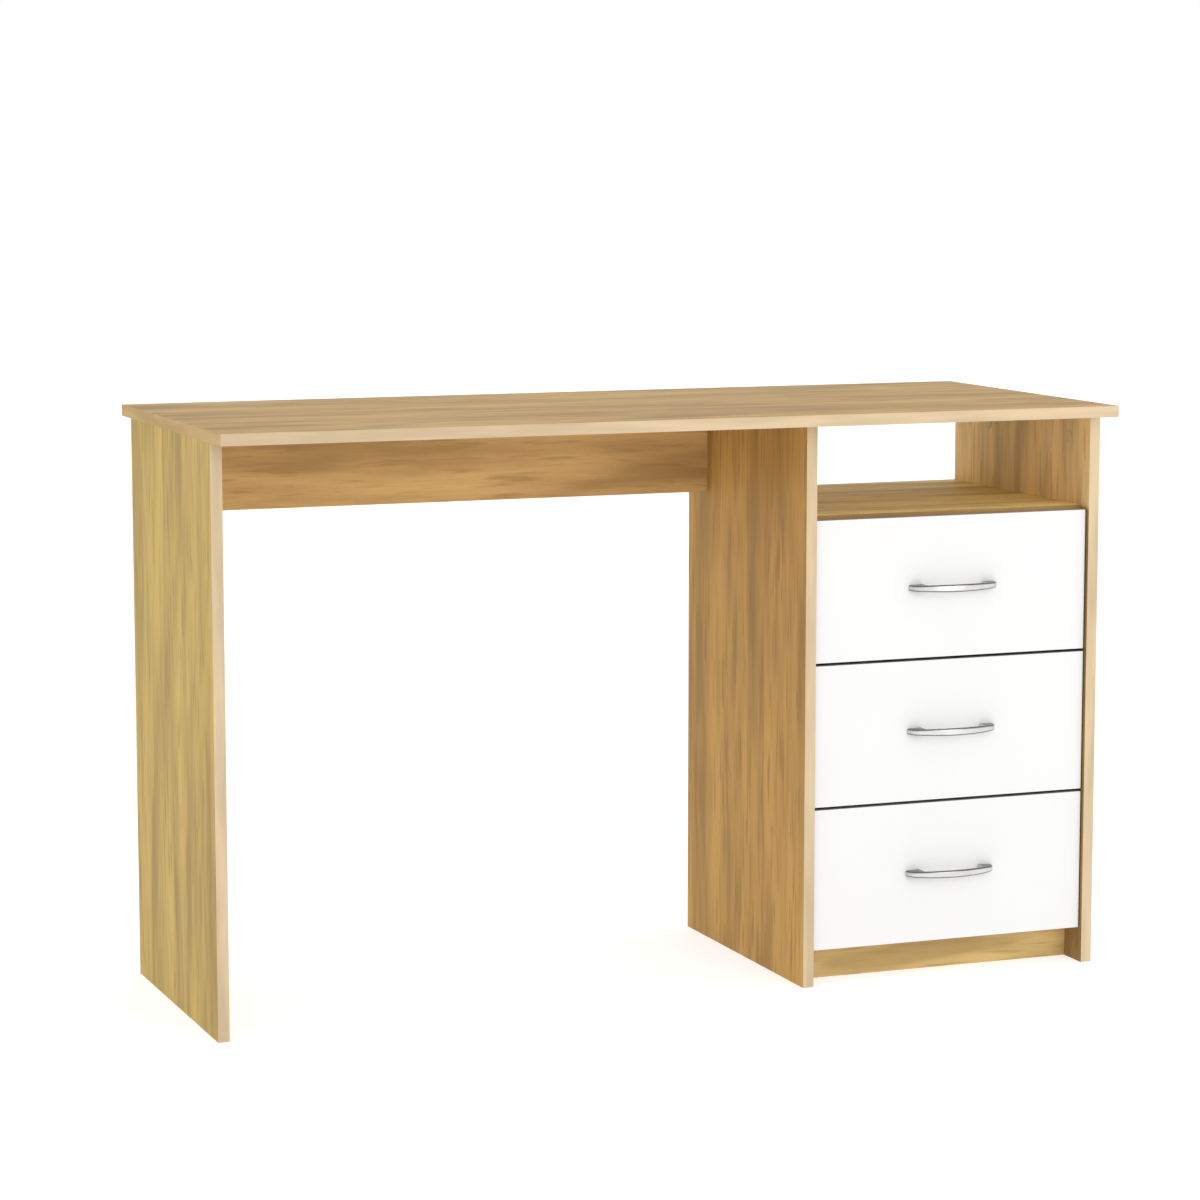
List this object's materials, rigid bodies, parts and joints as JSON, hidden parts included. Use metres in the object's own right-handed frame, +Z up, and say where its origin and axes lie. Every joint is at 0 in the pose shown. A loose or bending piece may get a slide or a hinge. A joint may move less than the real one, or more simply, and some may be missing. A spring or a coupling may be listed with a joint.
{
  "type": "writing desk with drawers",
  "caption": "Writing desk with a knee space, a modesty panel and a pedestal that holds an open niche above sliding drawers with bow handles.",
  "frame": {"origin": "on the floor under the middle of the desktop", "axes": "+X to the right as seen from the chair, +Y to the rear, +Z up"},
  "size_m": [1.23, 0.5, 0.765],
  "materials": {
    "oak_board": "natural-oak-look melamine on chipboard, matt, lighter edge banding",
    "white_board": "satin white melamine on chipboard",
    "box_board": "off-white foil on thin chipboard",
    "hardboard": "thin fibreboard, white on the outer side",
    "handle_metal": "satin nickel",
    "runner_steel": "white epoxy on pressed steel",
    "roller_nylon": "natural white nylon",
    "zinc_cam": "die-cast zinc, dull",
    "plated_steel": "bright zinc plate",
    "beech_dowel": "bare beech",
    "cap_plastic": "oak-coloured matt plastic"
  },
  "bodies": {
    "carcass": {"desktop": "oak_board", "left_side_panel": "oak_board", "pedestal_left_panel": "oak_board", "pedestal_right_panel": "oak_board", "modesty_panel": "oak_board", "niche_shelf": "oak_board", "pedestal_base": "oak_board", "plinth": "oak_board", "pedestal_back_panel": "hardboard", "carcass_runners_left": "runner_steel", "carcass_runners_right": "runner_steel", "cam_locks": "zinc_cam", "cam_bolts": "plated_steel", "wooden_dowels": "beech_dowel", "cam_cover_caps": "cap_plastic", "back_panel_nails": "plated_steel", "carcass_runner_screws": "plated_steel"},
    "carcass_rollers_bottom": {"carcass_rollers_bottom": "roller_nylon"},
    "drawer_bottom": {"drawer_bottom_front": "white_board", "drawer_bottom_side_left": "box_board", "drawer_bottom_side_right": "box_board", "drawer_bottom_back": "box_board", "drawer_bottom_bottom": "hardboard", "drawer_bottom_handle": "handle_metal", "drawer_bottom_handle_screws": "plated_steel", "drawer_bottom_runner_left": "runner_steel", "drawer_bottom_runner_right": "runner_steel", "drawer_bottom_runner_screws": "plated_steel", "drawer_bottom_cam_locks": "zinc_cam", "drawer_bottom_cam_bolts": "plated_steel"},
    "drawer_bottom_rear_rollers": {"drawer_bottom_rear_rollers": "roller_nylon"},
    "carcass_rollers_middle": {"carcass_rollers_middle": "roller_nylon"},
    "drawer_middle": {"drawer_middle_front": "white_board", "drawer_middle_side_left": "box_board", "drawer_middle_side_right": "box_board", "drawer_middle_back": "box_board", "drawer_middle_bottom": "hardboard", "drawer_middle_handle": "handle_metal", "drawer_middle_handle_screws": "plated_steel", "drawer_middle_runner_left": "runner_steel", "drawer_middle_runner_right": "runner_steel", "drawer_middle_runner_screws": "plated_steel", "drawer_middle_cam_locks": "zinc_cam", "drawer_middle_cam_bolts": "plated_steel"},
    "drawer_middle_rear_rollers": {"drawer_middle_rear_rollers": "roller_nylon"},
    "carcass_rollers_top": {"carcass_rollers_top": "roller_nylon"},
    "drawer_top": {"drawer_top_front": "white_board", "drawer_top_side_left": "box_board", "drawer_top_side_right": "box_board", "drawer_top_back": "box_board", "drawer_top_bottom": "hardboard", "drawer_top_handle": "handle_metal", "drawer_top_handle_screws": "plated_steel", "drawer_top_runner_left": "runner_steel", "drawer_top_runner_right": "runner_steel", "drawer_top_runner_screws": "plated_steel", "drawer_top_cam_locks": "zinc_cam", "drawer_top_cam_bolts": "plated_steel"},
    "drawer_top_rear_rollers": {"drawer_top_rear_rollers": "roller_nylon"}
  },
  "joints": [
    {"name": "drawer_bottom_slide", "type": "slide", "parent": "carcass", "child": "drawer_bottom", "axis": [0, -1, 0], "range_m": [0, 0.265]},
    {"name": "carcass_rollers_bottom_turn", "type": "hinge", "parent": "carcass", "child": "carcass_rollers_bottom", "pos_m": [0.3995, -0.164, 0.0805], "axis": [1, 0, 0], "continuous": true},
    {"name": "drawer_bottom_rear_rollers_turn", "type": "hinge", "parent": "drawer_bottom", "child": "drawer_bottom_rear_rollers", "pos_m": [0.3995, 0.159, 0.0805], "axis": [1, 0, 0], "continuous": true},
    {"name": "drawer_middle_slide", "type": "slide", "parent": "carcass", "child": "drawer_middle", "axis": [0, -1, 0], "range_m": [0, 0.265]},
    {"name": "carcass_rollers_middle_turn", "type": "hinge", "parent": "carcass", "child": "carcass_rollers_middle", "pos_m": [0.3995, -0.164, 0.273], "axis": [1, 0, 0], "continuous": true},
    {"name": "drawer_middle_rear_rollers_turn", "type": "hinge", "parent": "drawer_middle", "child": "drawer_middle_rear_rollers", "pos_m": [0.3995, 0.159, 0.273], "axis": [1, 0, 0], "continuous": true},
    {"name": "drawer_top_slide", "type": "slide", "parent": "carcass", "child": "drawer_top", "axis": [0, -1, 0], "range_m": [0, 0.265]},
    {"name": "carcass_rollers_top_turn", "type": "hinge", "parent": "carcass", "child": "carcass_rollers_top", "pos_m": [0.3995, -0.164, 0.4655], "axis": [1, 0, 0], "continuous": true},
    {"name": "drawer_top_rear_rollers_turn", "type": "hinge", "parent": "drawer_top", "child": "drawer_top_rear_rollers", "pos_m": [0.3995, 0.159, 0.4655], "axis": [1, 0, 0], "continuous": true}
  ],
  "couplings": [
    {"joint": "carcass_rollers_bottom_turn", "follows": "drawer_bottom_slide", "rad_per_m": 100},
    {"joint": "drawer_bottom_rear_rollers_turn", "follows": "drawer_bottom_slide", "rad_per_m": 100},
    {"joint": "carcass_rollers_middle_turn", "follows": "drawer_middle_slide", "rad_per_m": 100},
    {"joint": "drawer_middle_rear_rollers_turn", "follows": "drawer_middle_slide", "rad_per_m": 100},
    {"joint": "carcass_rollers_top_turn", "follows": "drawer_top_slide", "rad_per_m": 100},
    {"joint": "drawer_top_rear_rollers_turn", "follows": "drawer_top_slide", "rad_per_m": 100}
  ]
}
